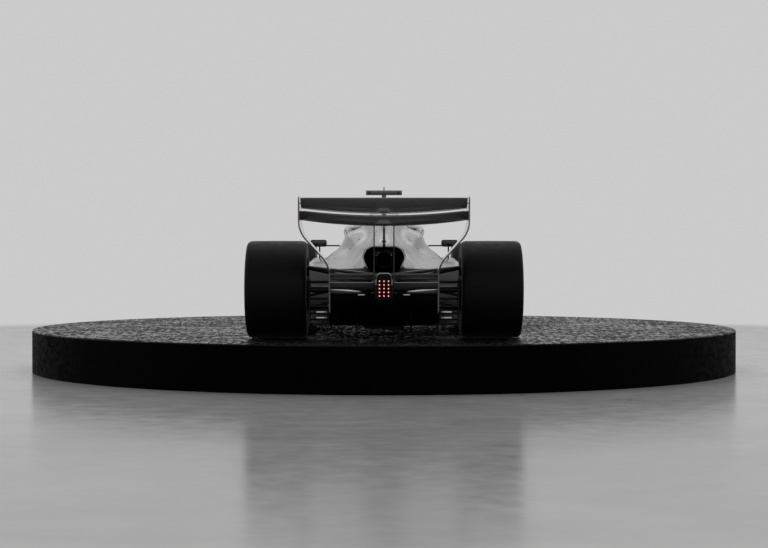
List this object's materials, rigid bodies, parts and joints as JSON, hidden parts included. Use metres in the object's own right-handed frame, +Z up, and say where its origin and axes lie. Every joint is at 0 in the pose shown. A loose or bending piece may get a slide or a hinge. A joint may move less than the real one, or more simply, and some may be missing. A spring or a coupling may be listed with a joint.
{
  "type": "open wheel racing car",
  "caption": "Open wheel racing car with halo, covered tail, sidepods, front and rear wings and spinning, steered wheels, standing on a round display plinth.",
  "frame": {"origin": "middle of the plinth's underside", "axes": "+X to the car's right, +Y forward towards the nose, +Z up; the plinth top is at Z 0.335 m"},
  "size_m": [5.7798, 5.7798, 1.498],
  "materials": {
    "plinth_black": "gloss black side, dark grained top",
    "body_silver": "gloss silver grey paint",
    "wing_dark": "satin charcoal carbon composite",
    "carbon": "satin black carbon composite",
    "plank": "matt laminate",
    "cast_block": "matt cast",
    "exhaust_metal": "heat tinted metal",
    "headrest_trim": "matt moulded trim",
    "light_housing": "gloss black with red lamps",
    "lamp_red": "translucent red lens",
    "tyre": "smooth black rubber",
    "rim_metal": "satin black forged metal",
    "shaft_steel": "dark machined steel"
  },
  "bodies": {
    "chassis": {"display_plinth": "plinth_black", "floor_pan": "carbon", "skid_plank": "plank", "diffuser": "carbon", "safety_cell": "body_silver", "nose_cone": "body_silver", "seat": "carbon", "power_unit": "cast_block", "gearbox": "carbon", "tail_structure": "carbon", "rain_light": "light_housing", "exhaust_pipe": "exhaust_metal", "engine_cover": "body_silver", "headrest": "headrest_trim", "sidepod_left": "body_silver", "sidepod_right": "body_silver", "halo": "body_silver", "camera_bar": "carbon", "mirrors": "carbon", "front_wing_main": "wing_dark", "front_wing_flaps": "wing_dark", "front_endplate_left": "wing_dark", "front_endplate_right": "wing_dark", "rear_wing_main": "wing_dark", "rear_endplate_left": "wing_dark", "rear_endplate_right": "wing_dark", "wing_lamp_left": "lamp_red", "wing_lamp_right": "lamp_red", "wing_pylons": "carbon", "beam_wing": "carbon", "front_suspension": "carbon", "rear_suspension": "carbon", "rear_upright_left": "carbon", "rear_upright_right": "carbon"},
    "knuckle_left": {"front_upright_left": "carbon"},
    "knuckle_right": {"front_upright_right": "carbon"},
    "wheel_front_left": {"tyre_front_left": "tyre", "rim_front_left": "rim_metal"},
    "wheel_front_right": {"tyre_front_right": "tyre", "rim_front_right": "rim_metal"},
    "wheel_rear_left": {"tyre_rear_left": "tyre", "rim_rear_left": "rim_metal", "drive_shaft_left": "shaft_steel"},
    "wheel_rear_right": {"tyre_rear_right": "tyre", "rim_rear_right": "rim_metal", "drive_shaft_right": "shaft_steel"},
    "steering_rack": {"track_rods": "shaft_steel"},
    "steering_wheel": {"steering_wheel": "carbon"},
    "wing_flap": {"rear_wing_flap": "wing_dark"}
  },
  "joints": [
    {"name": "steer_left", "type": "hinge", "parent": "chassis", "child": "knuckle_left", "pos_m": [-0.655, 1.75, 0.6903], "axis": [0, 0, 1], "range_deg": [-16, 16]},
    {"name": "steer_right", "type": "hinge", "parent": "chassis", "child": "knuckle_right", "pos_m": [0.655, 1.75, 0.6903], "axis": [0, 0, 1], "range_deg": [-16, 16]},
    {"name": "wheel_front_left_spin", "type": "hinge", "parent": "knuckle_left", "child": "wheel_front_left", "pos_m": [-0.815, 1.75, 0.6903], "axis": [1, 0, 0], "continuous": true},
    {"name": "wheel_front_right_spin", "type": "hinge", "parent": "knuckle_right", "child": "wheel_front_right", "pos_m": [0.815, 1.75, 0.6903], "axis": [1, 0, 0], "continuous": true},
    {"name": "wheel_rear_left_spin", "type": "hinge", "parent": "chassis", "child": "wheel_rear_left", "pos_m": [-0.7775, -1.85, 0.6903], "axis": [1, 0, 0], "continuous": true},
    {"name": "wheel_rear_right_spin", "type": "hinge", "parent": "chassis", "child": "wheel_rear_right", "pos_m": [0.7775, -1.85, 0.6903], "axis": [1, 0, 0], "continuous": true},
    {"name": "rack_slide", "type": "slide", "parent": "chassis", "child": "steering_rack", "axis": [1, 0, 0], "range_m": [-0.036, 0.036]},
    {"name": "steering_wheel_turn", "type": "hinge", "parent": "chassis", "child": "steering_wheel", "pos_m": [0, 0.6, 0.88], "axis": [0, -1, 0], "range_deg": [-170, 170]},
    {"name": "wing_flap_tilt", "type": "hinge", "parent": "chassis", "child": "wing_flap", "pos_m": [0, -2.552, 1.301], "axis": [1, 0, 0], "range_deg": [0, 18]}
  ],
  "couplings": [
    {"joint": "steer_right", "follows": "steer_left", "ratio": 1},
    {"joint": "rack_slide", "follows": "steer_left", "m_per_rad": 0.12},
    {"joint": "steering_wheel_turn", "follows": "steer_left", "ratio": 10}
  ]
}
